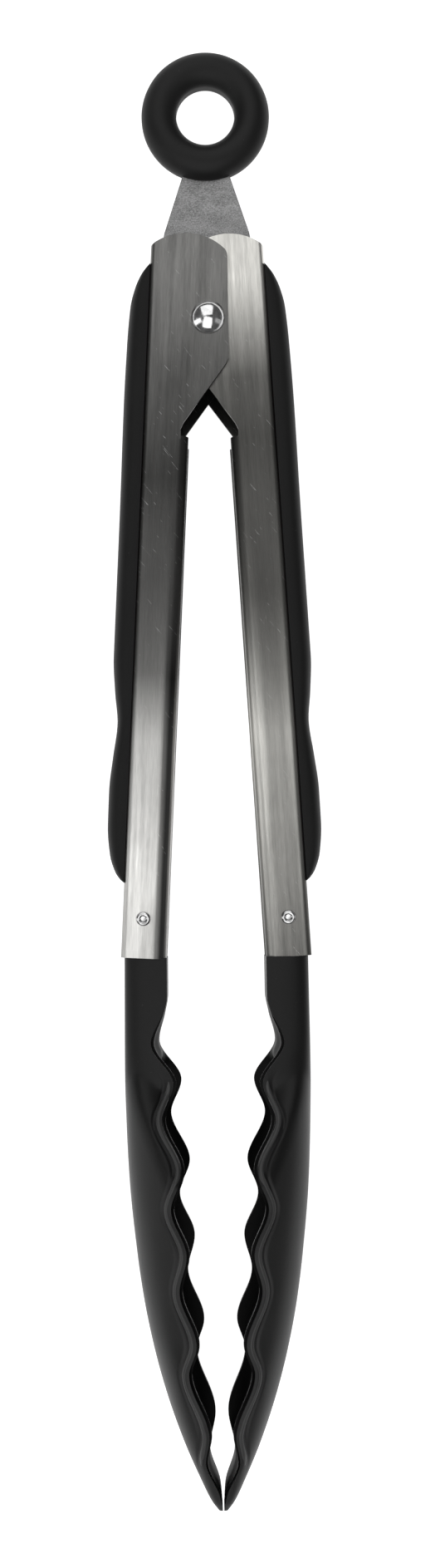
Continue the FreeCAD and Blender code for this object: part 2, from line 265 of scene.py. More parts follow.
@dataclass(frozen=True)
class BrushedSteel:
    """Stainless sheet brushed along the arm, with reflections and shade painted into its tone.

    The painted reflections and shade are stops of (millimetres, brightness), along the arm from
    the pivot and across it from the mid line, in the frame of a straight arm.
    """

    name: str
    turn: float
    pivot: Vector
    along: Tuple[Tuple[float, float], ...]
    across: Tuple[Tuple[float, float], ...]
    dark: float = 0.62
    light: float = 0.98
    roughness: float = 0.33
    warmth: float = 0.02
    channel_start: float = -40.0
    channel_full: float = -85.0
    slot: str = "brushed_steel"

    def painted_reflection_ramp(self, bench: NodeBench, place: bpy.types.NodeSocket,
               stops: Sequence[Tuple[float, float]]) -> bpy.types.NodeSocket:
        """Painted reflection and shade brightness, read from stops over a distance in metres.
        """
        low = stops[0][0] * MILLIMETRE
        high = stops[-1][0] * MILLIMETRE
        share = bench.remap(place, low, high, 0.0, 1.0)
        width = stops[-1][0] - stops[0][0]
        return bench.ramp(share, [((at - stops[0][0]) / width, tone) for at, tone in stops])

    def make(self) -> bpy.types.Material:
        """Build the material."""
        bench = NodeBench.fresh(self.name)
        turn = (0.0, 0.0, self.turn)
        back = Matrix.Rotation(self.turn, 3, "Z") @ self.pivot
        straight = bench.object_space((1, 1, 1), turn, -back)
        parts = bench.add("SeparateXYZ", {"Vector": straight})
        fine = bench.noise(bench.object_space((9000, 90, 9000), turn), detail=4)
        broad = bench.noise(bench.object_space((900, 14, 900), turn), detail=3)
        cloud = bench.noise(bench.object_space((60, 28, 60), turn), detail=3)
        scratch_space = bench.object_space((240, 3200, 300), (0, 0, 0.9))
        scratch = bench.ramp(bench.noise(scratch_space, detail=2),
                             [(0.0, 0.0), (0.71, 0.0), (0.735, 1.0), (0.76, 0.0)])
        streak = bench.math("ADD", bench.math("MULTIPLY", fine, 0.45),
                            bench.math("MULTIPLY", broad, 0.55))
        tone = bench.remap(streak, 0.3, 0.7, self.dark, self.light)
        # painted reflections and shade along the arm: bright where the sheet would mirror the
        # lights, dark between
        tone = bench.math("MULTIPLY", tone, self.painted_reflection_ramp(bench, parts.outputs[1], self.along))
        # below the head, painted highlights and shade across the arm at its curled edges and
        # outer bend
        below_head = bench.remap(parts.outputs[1], self.channel_full * MILLIMETRE,
                                 self.channel_start * MILLIMETRE, 1.0, 0.0)
        curl_painted_reflection = bench.add("Mix", {0: below_head, 2: 1.0}, data_type="FLOAT")
        bench.feed(curl_painted_reflection, 3, self.painted_reflection_ramp(bench, parts.outputs[0], self.across))
        tone = bench.math("MULTIPLY", tone, curl_painted_reflection.outputs[0])
        smudge = bench.remap(cloud, 0.45, 0.75, 1.0, 0.72)
        tone = bench.math("MULTIPLY", tone, smudge)
        colour = bench.blend(tone, grey(0.0), grey(1.0, self.warmth))
        colour = bench.blend(bench.math("MULTIPLY", scratch, 0.4), colour, grey(0.8))
        rough = bench.remap(streak, 0.3, 0.7, self.roughness + 0.07, self.roughness - 0.05)
        normal = bench.bump(fine, 0.25, 0.00003)
        normal = bench.bump(scratch, 0.2, 0.00004, normal)
        grain = bench.add("CombineXYZ", {"X": -math.sin(self.turn), "Y": math.cos(self.turn)})
        return bench.surface(Base_Color=colour, Metallic=1.0, Roughness=rough, Normal=normal,
                             Anisotropic=0.7, Anisotropic_Rotation=0.25,
                             Tangent=grain.outputs[0])


@dataclass(frozen=True)
class RolledSheet:
    """Dull rolled steel sheet with a speckled mill surface."""

    name: str = "rolled_sheet"
    dark: float = 0.12
    light: float = 0.4
    slot: str = "raw_steel"

    def make(self) -> bpy.types.Material:
        """Build the material."""
        bench = NodeBench.fresh(self.name)
        speck = bench.noise(bench.object_space((2400, 4200, 2400)), detail=4, rough=0.75)
        cloud = bench.noise(bench.object_space((260, 420, 260)), detail=3)
        tone = bench.math("ADD", bench.math("MULTIPLY", speck, 0.8),
                          bench.math("MULTIPLY", cloud, 0.2))
        colour = bench.blend(bench.remap(tone, 0.36, 0.64, 0.0, 1.0), grey(self.dark),
                             grey(self.light))
        normal = bench.bump(speck, 0.35, 0.00005)
        return bench.surface(Base_Color=colour, Metallic=1.0, Roughness=0.5, Normal=normal)


@dataclass(frozen=True)
class PolishedSteel:
    """Bright rivet metal with faint tool marks."""

    name: str = "polished_rivet"
    dark: float = 0.62
    slot: str = "polished_steel"

    def make(self) -> bpy.types.Material:
        """Build the material."""
        bench = NodeBench.fresh(self.name)
        mark = bench.noise(bench.object_space((700, 700, 700)), detail=4)
        wave = bench.noise(bench.object_space((240, 240, 240)), detail=2)
        colour = bench.blend(bench.remap(mark, 0.4, 0.7, 0.0, 1.0), grey(self.dark),
                             grey(0.85))
        rough = bench.remap(mark, 0.35, 0.7, 0.1, 0.24)
        normal = bench.bump(wave, 0.25, 0.0004)
        return bench.surface(Base_Color=colour, Metallic=1.0, Roughness=rough, Normal=normal)


@dataclass(frozen=True)
class SpringWire:
    """Drawn spring wire with fine rings across it."""

    name: str = "spring_wire"
    slot: str = "spring_steel"

    def make(self) -> bpy.types.Material:
        """Build the material."""
        bench = NodeBench.fresh(self.name)
        mark = bench.noise(bench.object_space((1500, 1500, 1500)), detail=3)
        colour = bench.blend(mark, grey(0.3), grey(0.6))
        return bench.surface(Base_Color=colour, Metallic=1.0, Roughness=0.32,
                             Normal=bench.bump(mark, 0.2, 0.00005))


@dataclass(frozen=True)
class SoftBlack:
    """Black moulded rubber or plastic with fine grain and a little dust."""

    name: str
    slot: str
    tone: float = 0.02
    roughness: float = 0.6
    grain_scale: float = 4200.0
    grain: float = 0.25
    dust: float = 0.25
    specular: float = 0.25

    def colour(self, bench: NodeBench, plain_colour: Any) -> Any:
        """Plain colour, which a finish with places of its own changes."""
        return plain_colour

    def make(self) -> bpy.types.Material:
        """Build the material."""
        bench = NodeBench.fresh(self.name)
        grain = bench.noise(bench.object_space((self.grain_scale,) * 3), detail=3)
        cloud = bench.noise(bench.object_space((70, 40, 70)), detail=3)
        cells = bench.add("TexVoronoi", {"Vector": bench.object_space((330, 330, 330))})
        near = bench.math("LESS_THAN", cells.outputs["Distance"], 0.055)
        chance = bench.add("SeparateColor", {"Color": cells.outputs["Color"]}).outputs[0]
        speck = bench.math("MULTIPLY", near, bench.math("GREATER_THAN", chance, 0.93))
        colour = bench.blend(bench.remap(cloud, 0.35, 0.7, 0.0, 1.0), grey(self.tone * 0.85),
                             grey(self.tone * 1.25))
        colour = self.colour(bench, colour)
        colour = bench.blend(bench.math("MULTIPLY", speck, self.dust), colour, grey(0.5))
        rough = bench.remap(cloud, 0.3, 0.7, self.roughness - 0.05, self.roughness + 0.06)
        normal = bench.bump(grain, self.grain, 0.00006)
        return bench.surface(Base_Color=colour, Roughness=rough, Normal=normal,
                             Specular_IOR_Level=self.specular)


@dataclass(frozen=True)
class ScoopNylon(SoftBlack):
    """Moulded nylon of one scoop, darker on its neck: partly the neck's own duller tone and
    partly painted shade, darkest on the neck's inner half and fading out past the crease.

    The neck ends on a slanted line: crease is its distance below the pivot at
    the rim, and lag how much sooner it ends for each millimetre further out.
    """

    side: Side = Side.LEFT
    pivot: Vector = field(default_factory=Vector)
    crease: float = 172.5
    lag: float = 1.94
    rim: float = 13.2
    parting: Tuple[float, float] = (16.0, 16.8)
    neck_painted_shade: Tuple[float, float] = (0.25, 0.8)
    painted_shade_fade: Tuple[float, float] = (6.0, 9.5)

    def painted_neck_shade(self, bench: NodeBench) -> bpy.types.NodeSocket:
        """Painted shade: brightness of the neck's inner and outer part and of the bowl."""
        out = -1.0 if self.side is Side.LEFT else 1.0
        turn = -out * CLOSED_ANGLE
        back = Matrix.Rotation(turn, 3, "Z") @ self.pivot
        place = bench.object_space((out / MILLIMETRE, -1 / MILLIMETRE, 1 / MILLIMETRE),
                                   (0.0, 0.0, turn), -back)
        parts = bench.add("SeparateXYZ", {"Vector": place})
        sideways = bench.math("SUBTRACT", parts.outputs[0], self.rim)
        lagged = bench.math("MULTIPLY", sideways, self.lag)
        begun = bench.math("ADD", bench.math("SUBTRACT", parts.outputs[1], self.crease), lagged)
        # painted shade on the neck, darkest on its half nearer the mid plane
        neck = bench.remap(parts.outputs[0], *self.parting, *self.neck_painted_shade)
        # the painted shade fades out past the crease into the bowl
        bowl = bench.remap(begun, *self.painted_shade_fade, 0.0, 1.0)
        return bench.add("Mix", {0: bowl, 2: neck, 3: 1.0}, data_type="FLOAT").outputs[0]

    def colour(self, bench: NodeBench, plain_colour: Any) -> Any:
        """Plain colour, darkened on the neck by painted shade."""
        return bench.blend(self.painted_neck_shade(bench), grey(0.0), plain_colour)


# ---------------------------------------------------------------- pieces


@dataclass
class Workshop:
    """Turns meshes drawn in the pivot frame into finished pieces."""

    pivot: PivotFrame
    made: List[str] = field(default_factory=list)

    def finish(self, bm: bmesh.types.BMesh, name: str, material: bpy.types.Material,
               slot: str, body: str, replaces: Sequence[str],
               side: Side = Side.LEFT, flat_angle: float = 35.0) -> bpy.types.Object:
        """Place a mesh, dress it and hand it to its body.

        Args:
            bm: Mesh in the pivot frame, in millimetres; it is freed.
            name: Name of the piece.
            material: Finish of the piece.
            slot: Material slot of the record that the finish belongs to; not used.
            body: Body that the piece rides on.
            replaces: Names of the nodes that the piece stands for.
            side: Side of the tongs; the right one is turned half a turn.
            flat_angle: Edges sharper than this many degrees stay crisp.

        Returns:
            The finished object.
        """
        bmesh.ops.recalc_face_normals(bm, faces=bm.faces)
        return self.deliver(bm, self.pivot.matrix @ side.turn, name, material, slot, body,
                            replaces, flat_angle)

    def deliver(self, bm: bmesh.types.BMesh, place: Matrix, name: str,
                material: bpy.types.Material, slot: str, body: str,
                replaces: Sequence[str], flat_angle: float) -> bpy.types.Object:
        """Move a mesh to its place and make it a riding piece."""
        bmesh.ops.transform(bm, matrix=place, verts=bm.verts)
        limit = math.radians(flat_angle)
        for edge in bm.edges:
            edge.smooth = len(edge.link_faces) == 2 and edge.calc_face_angle(0.0) < limit
        for face in bm.faces:
            face.smooth = True
        mesh = bpy.data.meshes.new(name)
        bm.to_mesh(mesh)
        bm.free()
        mesh.materials.append(material)
        piece = bpy.data.objects.new(name, mesh)
        bpy.context.scene.collection.objects.link(piece)
        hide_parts(*replaces)
        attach(piece, body)
        self.made.append(name)
        LOG.info("%s: %d faces on %s", name, len(mesh.polygons), body)
        return piece

    def refine(self, node: str, name: str, material: bpy.types.Material, slot: str,
               body: str, edge_round: float) -> bpy.types.Object:
        """Finer copy of a pressed piece, with its sharp edges eased.

        Args:
            node: Node whose shape is copied.
            name: Name of the new piece.
            material: Finish of the piece.
            slot: Material slot of the record; not used.
            body: Body that the piece rides on.
            edge_round: Radius of the eased edges, in millimetres.

        Returns:
            The finished object.
        """
        bm = bmesh.new()
        bm.from_mesh(frame["nodes"][node].data)
        bmesh.ops.remove_doubles(bm, verts=bm.verts, dist=1e-7)
        bmesh.ops.dissolve_limit(bm, angle_limit=math.radians(0.6), verts=bm.verts,
                                 edges=bm.edges)
        piece = self.deliver(bm, Matrix.Identity(4), name, material, slot, body, [node], 32.0)
        ease_edges(piece, edge_round)
        return piece


def ease_edges(piece: bpy.types.Object, radius: float, segments: int = 2,
               limit: float = 40.0) -> None:
    """Round a piece's sharp edges with a small bevel and keep its faces flat."""
    bevel = piece.modifiers.new("eased_edges", "BEVEL")
    bevel.width = radius * MILLIMETRE
    bevel.segments = segments
    bevel.limit_method = "ANGLE"
    bevel.angle_limit = math.radians(limit)
    bevel.harden_normals = True


def spun(outline: Sequence[Tuple[float, float]], centre: Vector,
         steps: int) -> bmesh.types.BMesh:
    """Solid turned about Z from an outline of (radius, height) points.

    Args:
        outline: Points from the axis round to the axis again.
        centre: Place of the outline's origin.
        steps: Number of faces round the axis.

    Returns:
        A closed mesh.
    """
    bm = bmesh.new()
    verts = [bm.verts.new(centre + Vector((r, 0, h))) for r, h in outline]
    edges = [bm.edges.new(pair) for pair in zip(verts[:-1], verts[1:])]
    bmesh.ops.spin(bm, geom=verts + edges, cent=centre, axis=(0, 0, 1),
                   angle=math.tau, steps=steps, use_merge=True, use_duplicate=False)
    bmesh.ops.remove_doubles(bm, verts=bm.verts, dist=1e-4)
    bmesh.ops.dissolve_degenerate(bm, edges=bm.edges, dist=1e-5)
    return bm


def arc(centre: Tuple[float, float], radius: float, start: float, end: float,
        count: int) -> List[Tuple[float, float]]:
    """Points on an arc, angles in degrees."""
    return [(centre[0] + radius * math.cos(math.radians(a)),
             centre[1] + radius * math.sin(math.radians(a)))
            for a in evenly(start, end, count)]


def grid_surface(bm: bmesh.types.BMesh, rows: int, columns: int,
                 place: Callable[[int, int], Vector]) -> List[bmesh.types.BMVert]:
    """Grid pulled onto a surface.

    Args:
        bm: Mesh that the grid is added to.
        rows: Number of vertices along the piece.
        columns: Number of vertices across the piece.
        place: Row and column to the vertex's place.

    Returns:
        The grid's vertices.
    """
    made = bmesh.ops.create_grid(bm, x_segments=columns - 1, y_segments=rows - 1, size=1.0)
    for vert in made["verts"]:
        column = round((vert.co.x + 1) / 2 * (columns - 1))
        row = round((vert.co.y + 1) / 2 * (rows - 1))
        vert.co = place(row, column)
    return made["verts"]


@dataclass
class PivotRivet:
    """Domed rivet that both arms turn on, peened over at the back."""

    shop: Workshop
    pin_radius: float = 2.5
    dome_radius: float = 3.9
    dome_height: float = 2.5
    back_radius: float = 3.4
    back_height: float = 1.2
    face: float = HEAD_WIDTH / 2 + 0.05

    def outline(self) -> List[Tuple[float, float]]:
        """Half section from the back of the rivet to the top of its dome."""
        points = [(0.0, -self.face - self.back_height)]
        points += arc((self.back_radius - 1.0, -self.face - self.back_height + 1.0), 1.0,
                      -90, -8, 8)
        points += [(self.back_radius, -self.face), (self.pin_radius, -self.face)]
        points += [(self.pin_radius, self.face), (self.dome_radius - 0.15, self.face)]
        points += [(self.dome_radius, self.face + 0.12), (self.dome_radius, self.face + 0.4)]
        rise = self.dome_height - 0.4
        ball = (self.dome_radius ** 2 + rise ** 2) / (2 * rise)
        start = math.degrees(math.asin((ball - rise) / ball))
        points += arc((0.0, self.face + self.dome_height - ball), ball, start, 90, 14)[1:-1]
        points.append((0.0, self.face + self.dome_height))
        return points

    def build(self) -> None:
        """Turn the rivet and polish it."""
        finish = PolishedSteel()
        bm = spun(self.outline(), Vector((0, 0, 0)), 64)
        self.shop.finish(bm, "pivot_rivet_turned", finish.make(), finish.slot, "pivot",
                         ["pivot_rivet"])


@dataclass
class TorsionSpring:
    """Wire coil round the pin, with a leg down the inside of each arm."""

    shop: Workshop
    wire: float = 0.8
    coil_radius: float = 4.2
    turns: float = 3.0
    pitch: float = 1.75
    bottom: float = 1.6
    leg: float = 46.0
    leg_lean: float = 7.5
    steps: int = 32

    def tube(self, points: Sequence[Vector]) -> bmesh.types.BMesh:
        """Round wire along a row of points, with closed ends."""
        curve = bpy.data.curves.new("wire_path", "CURVE")
        curve.dimensions = "3D"
        curve.bevel_depth = self.wire
        curve.bevel_resolution = 3
        curve.use_fill_caps = True
        spline = curve.splines.new("POLY")
        spline.points.add(len(points) - 1)
        for target, point in zip(spline.points, points):
            target.co = (*point, 1.0)
        holder = bpy.data.objects.new("wire_path", curve)
        mesh = bpy.data.meshes.new_from_object(holder)
        bm = bmesh.new()
        bm.from_mesh(mesh)
        bpy.data.objects.remove(holder)
        bpy.data.curves.remove(curve)
        bpy.data.meshes.remove(mesh)
        bmesh.ops.remove_doubles(bm, verts=bm.verts, dist=1e-4)
        return bm

    def build(self) -> None:
        """Wind the coil and lay the legs."""
        finish = SpringWire()
        metal = finish.make()
        count = int(self.turns * self.steps) + 1
        coil = [Vector((self.coil_radius * math.cos(math.tau * i / self.steps),
                        self.coil_radius * math.sin(math.tau * i / self.steps),
                        self.bottom + self.pitch * i / self.steps)) for i in range(count)]
        self.shop.finish(self.tube(coil), "spring_coil", metal, finish.slot, "pivot",
                         ["torsion_spring"])
        top = self.bottom + self.pitch * self.turns
        spread = CLOSED_ANGLE + math.radians(self.leg_lean)
        for side, across, level in ((Side.RIGHT, 1.0, self.bottom), (Side.LEFT, -1.0, top)):
            start = Vector((self.coil_radius * across, 0, level))
            along = Vector((math.sin(spread) * across, -math.cos(spread), 0))
            points = [start + along * d for d in evenly(0.0, self.leg, 12)]
            self.shop.finish(self.tube(points), "spring_leg_" + side.value, metal,
                             finish.slot, side.body, ["torsion_spring"])


@dataclass
class HangRing:
    """Round rubber ring moulded over the pull tab's eye."""

    shop: Workshop
    radius: float = 11.0
    section: float = 4.3
    hole: float = 6.95

    def outline(self) -> List[Tuple[float, float]]:
        """Closed section of the ring with a short land in its hole."""
        points = []
        for angle in evenly(0, 360, 49)[:-1]:
            r = self.radius + self.section * math.cos(math.radians(angle))
            z = self.section * math.sin(math.radians(angle))
            seam = 0.05 if abs(angle) < 1 else 0.0
            points.append((max(r, self.hole) - seam, z))
        return points

    def build(self) -> None:
        """Turn the ring's section round its hole."""
        bm = bmesh.new()
        centre = Vector((0, RING_CENTRE, 0))
        verts = [bm.verts.new(centre + Vector((r, 0, z))) for r, z in self.outline()]
        edges = [bm.edges.new((verts[i - 1], verts[i])) for i in range(len(verts))]
        bmesh.ops.spin(bm, geom=verts + edges, cent=centre, axis=(0, 0, 1), angle=math.tau,
                       steps=128, use_merge=True, use_duplicate=False)
        bmesh.ops.remove_doubles(bm, verts=bm.verts, dist=1e-4)
        finish = SoftBlack("ring_rubber", "ring_rubber", tone=0.009, roughness=0.5,
                           specular=0.2)
        self.shop.finish(bm, "hang_ring_moulded", finish.make(), finish.slot, "lock",
                         ["hang_ring"])


@dataclass
class PressedSteel:
    """The two arms and the pull tab, cut and pressed from sheet."""

    shop: Workshop
    edge_round: float = 0.2

    def arm_steel_and_painted_reflections(self, side: Side) -> BrushedSteel:
        """Brushed steel of one arm, with its own painted reflections and shade."""
        pivot = self.shop.pivot.point(0, 0, 0)
        if side is Side.LEFT:
            # painted reflections and shade of the left arm: bright lower arm, dark middle and
            # head, a dark band and a bright edge at the inner curl
            along = ((-152.0, 0.7), (-118.0, 1.0), (-100.0, 0.92), (-84.0, 0.35),
                     (-63.0, 0.24), (-38.0, 0.1), (-14.0, 0.15), (21.0, 0.24))
            across = ((-15.0, 0.5), (-13.6, 0.6), (-12.9, 1.0), (-7.0, 1.0), (-6.2, 0.3),
                      (-5.0, 0.09), (-4.2, 0.12), (-3.9, 0.8), (6.0, 1.0))
            return BrushedSteel("brushed_steel_left", CLOSED_ANGLE, pivot, along, across)
        # painted reflections and shade of the right arm: bright head top, dark middle, a bright
        # band at the inner curl and a bright line at the outer bend
        along = ((-152.0, 0.19), (-122.0, 0.42), (-98.0, 0.82), (-82.0, 0.48),
                 (-63.0, 0.27), (-28.0, 0.13), (-14.0, 0.17), (-4.0, 0.4), (10.0, 0.86),
                 (21.0, 0.8))
        across = ((-6.0, 0.9), (3.4, 0.9), (4.2, 1.25), (6.2, 1.25), (7.4, 0.8),
                  (11.0, 0.85), (12.6, 1.1), (13.2, 0.6), (15.0, 0.4))
        return BrushedSteel("brushed_steel_right", -CLOSED_ANGLE, pivot, along, across,
                            warmth=0.035)

    def build(self) -> None:
        """Make the pressed pieces with eased edges."""
        for side in Side:
            finish = self.arm_steel_and_painted_reflections(side)
            node = side.value + "_arm"
            self.shop.refine(node, node + "_pressing", finish.make(), finish.slot, side.body,
                             self.edge_round)
        finish = RolledSheet()
        self.shop.refine("pull_tab", "pull_tab_blank", finish.make(), finish.slot, "lock",
                         self.edge_round)


@dataclass
class Grips:
    """Soft grips on the outside of the webs, with a notch for the fingers."""

    shop: Workshop
    half_width: float = 8.7
    power: float = 0.62
    start: float = -12.2
    end: float = 133.6
    foot: float = 0.16
    wrap: float = 104.0
    lift: float = 0.475
    rows: int = 150
    columns: int = 41
    thickness: Profile = Profile(((-12.2, 0.1), (-11.6, 1.0), (-10.0, 2.4), (-7.0, 3.7),
                                  (-3.0, 4.55), (5.0, 4.95), (20.0, 5.15), (48.0, 5.0),
                                  (80.0, 5.0), (88.5, 4.3), (96.0, 3.4), (104.0, 4.15),
                                  (112.0, 4.75), (120.0, 4.7), (127.0, 3.9), (131.0, 2.5),
                                  (133.0, 1.0), (133.6, 0.1)))

    def place(self, row: int, column: int) -> Vector:
        """Vertex of the grip in the left arm's own frame."""
        t = row / (self.rows - 1)
        down = self.start + (self.end - self.start) * (0.5 - 0.5 * math.cos(math.pi * t))
        angle = math.radians(evenly(-self.wrap, self.wrap, self.columns)[column])
        thick = self.thickness(down)
        across = math.copysign(abs(math.sin(angle)) ** self.power, angle) * self.half_width
        out = math.copysign(abs(math.cos(angle)) ** self.power, math.cos(angle))
        slope = 1 - self.foot if out > 0 else self.foot * 3
        height = max(thick * (self.foot + slope * out), 0.02)
        return Vector((-WEB_OFFSET - height, -down, across))

    def build(self) -> None:
        """Shape both grips and give them a soft black finish."""
        finish = SoftBlack("grip_rubber", "grip_rubber", tone=0.009, roughness=0.6,
                           specular=0.15)
        rubber = finish.make()
        for side in Side:
            bm = bmesh.new()
            grid_surface(bm, self.rows, self.columns, self.place)
            rim = [edge for edge in bm.edges if edge.is_boundary]
            bmesh.ops.holes_fill(bm, edges=rim, sides=0)
            lift = Matrix.Translation((0, 0, self.lift))
            lean = Matrix.Rotation(-CLOSED_ANGLE, 4, "Z")
            bmesh.ops.transform(bm, matrix=lean @ lift, verts=bm.verts)
            self.shop.finish(bm, side.value + "_grip_moulded", rubber, finish.slot,
                             side.body, [side.value + "_grip"], side, 50.0)


@dataclass
class TipRivets:
    """Hollow rivets with rolled heads that hold the tips in the arms."""

    shop: Workshop
    down: float = 141.9
    depth: float = 4.9
    shank: float = 1.2
    head: float = 1.7
    height: float = 0.75
    bore: float = 0.6
    bore_depth: float = 1.6

    def outline(self, low: float, high: float) -> List[Tuple[float, float]]:
        """Half section of the rivet, from the lower bore to the upper one."""
        ring = (self.head + self.bore) / 2
        thick = (self.head - self.bore) / 2
        points = [(0.0, low - self.height + self.bore_depth),
                  (self.bore, low - self.height + self.bore_depth)]
        points += arc((ring, low - self.height + thick), thick, 180, 360, 12)
        points += [(self.head, low), (self.shank, low), (self.shank, high), (self.head, high)]
        points += arc((ring, high + self.height - thick), thick, 0, 180, 12)
        points += [(self.bore, high + self.height - self.bore_depth),
                   (0.0, high + self.height - self.bore_depth)]
        return points

    def build(self) -> None:
        """Turn both rivets."""
        finish = PolishedSteel("tip_rivet_metal", dark=0.3)
        metal = finish.make()
        place = Matrix.Rotation(-CLOSED_ANGLE, 3, "Z") @ Vector(
            (-WEB_OFFSET + self.depth, -self.down, 0))
        for side in Side:
            bm = spun(self.outline(-HEAD_WIDTH / 2 + 0.95, HEAD_WIDTH / 2), place, 40)
            self.shop.finish(bm, side.value + "_tip_rivet_rolled", metal, finish.slot,
                             side.body, [side.value + "_tip_rivet"], side)


@dataclass
class ScoopForm:
    """Outer form of a scoop and the waves of its two rims.

    A boxy neck comes out of the arm, and a flared bowl grows out of the neck,
    first at its back and further down at its rims.
    """

    start: float = 150.4
    end: float = 281.8
    neck_half: float = 9.35
    flare_start: float = 172.5
    flare_lag: float = 1.94
    flare_length: float = 25.0
    flare_from: float = 0.8
    blend: float = 0.35
    lip_stand: float = 1.75
    front_stand: float = 1.05
    stand_start: float = 160.0
    stand_run: float = 11.0
    nose_run: float = 22.0
    back: Profile = Profile(((150.4, 21.8), (163.0, 21.95), (180.2, 22.15), (190.2, 21.95),
                             (203.2, 21.4), (221.2, 19.7), (232.0, 18.2), (243.0, 16.0),
                             (253.2, 13.3), (265.2, 9.2), (274.2, 5.4), (279.5, 2.9),
                             (281.8, 1.3)))
    width: Profile = Profile(((150.4, 12.0), (175.0, 13.5), (190.2, 16.0), (203.2, 17.6),
                              (221.2, 18.7), (239.2, 18.9), (253.2, 16.7), (265.2, 12.9),
                              (274.2, 9.2), (279.5, 6.6), (281.8, 4.8)))
    neck_fade: Profile = Profile(((150.4, 1.0), (178.0, 1.0), (200.0, 0.55),
                                  (281.8, 0.3)))
    neck_power: Profile = Profile(((150.4, 0.25), (166.0, 0.28), (176.0, 0.4),
                                   (190.0, 0.6), (281.8, 0.7)))
    bowl_power: Profile = Profile(((150.4, 0.7), (240.0, 0.72), (262.0, 0.64),
                                   (281.8, 0.5)))
    lip: Profile = Profile(((150.4, 11.7), (159.5, 11.75), (164.0, 12.5), (170.6, 14.0),
                            (180.2, 8.8), (188.4, 11.4), (200.2, 7.05), (208.8, 9.6),
                            (219.3, 6.1), (227.6, 7.85), (240.0, 4.05), (247.0, 5.9),
                            (261.7, 1.55), (269.5, 3.0), (277.5, 0.55), (281.8, 0.15)))

    def stand_share(self, down: float) -> float:
        """Share of the full step between the shell's rim and the lip."""
        nose = max(min((self.end - down) / self.nose_run, 1.0), 0.0)
        return nose * ease((down - self.stand_start) / self.stand_run)

    def rim(self, down: float) -> float:
        """Distance of the shell's rim from the mid plane."""
        return self.lip(down) + self.lip_stand * self.stand_share(down)

    def front_lip(self, down: float) -> float:
        """Distance of the lining's lower front lip from the mid plane."""
        return self.lip(down) + self.front_stand * self.stand_share(down)

    def half_width(self, x: float, depth: float, down: float, inset: float) -> float:
        """Half width of the form at a distance from the mid plane."""
        reach = min(x / depth, 1.0)
        power = self.neck_power(down)
        neck = (self.neck_half - inset) * self.neck_fade(down)
        neck *= (1 - reach ** (2 / power)) ** (power / 2)
        begun = down - self.flare_start + self.flare_lag * (x - self.lip(self.flare_start))
        full = max(self.width(down) - inset, 0.4)
        least = self.neck_half * self.flare_from
        grown = full
        if full > least:
            grown = least + (full - least) * ease(begun / self.flare_length)
        power = self.bowl_power(down)
        bowl = grown * (1 - reach ** (2 / power)) ** (power / 2)
        return 0.5 * (neck + bowl + math.hypot(neck - bowl, self.blend) - self.blend)

    def section(self, down: float, edge: float, inset: float,
                spread: Callable[[float], List[float]],
                raised: Optional[Callable[[float], float]] = None) -> List[Vector]:
        """One section of the form.

        Args:
            down: Distance below the pivot.
            edge: Distance of the section's two ends from the mid plane.
            inset: How far the section lies inside the outer form.
            spread: Length of the section to the places of its points along it.
            raised: Height above the form at a distance from the nearer rim.

        Returns:
            Points from one rim round the back to the other rim.
        """
        depth = max(self.back(down) - inset, edge + 0.3)
        power = 0.5 * (self.neck_power(down) + self.bowl_power(down))
        limit = math.acos(min(edge / depth, 1.0) ** (1 / power))
        fine = []
        for angle in evenly(-limit, limit, 161):
            x = depth * max(math.cos(angle), 0.0) ** power
            z = math.copysign(self.half_width(x, depth, down, inset), angle)
            fine.append(Vector((-x, -down, z)))
        lengths = [0.0]
        for first, second in zip(fine[:-1], fine[1:]):
            lengths.append(lengths[-1] + (second - first).length)
        made = []
        for target in spread(lengths[-1]):
            i = min(max(bisect_right(lengths, target) - 1, 0), len(fine) - 2)
            step = lengths[i + 1] - lengths[i]
            t = (target - lengths[i]) / step if step > 1e-9 else 0.0
            point = fine[i].lerp(fine[i + 1], t)
            if raised is not None:
                run = (fine[i + 1] - fine[i]).normalized()
                outward = Vector((-run.z, 0.0, run.x))
                point += outward * raised(min(target, lengths[-1] - target))
            made.append(point)
        return made


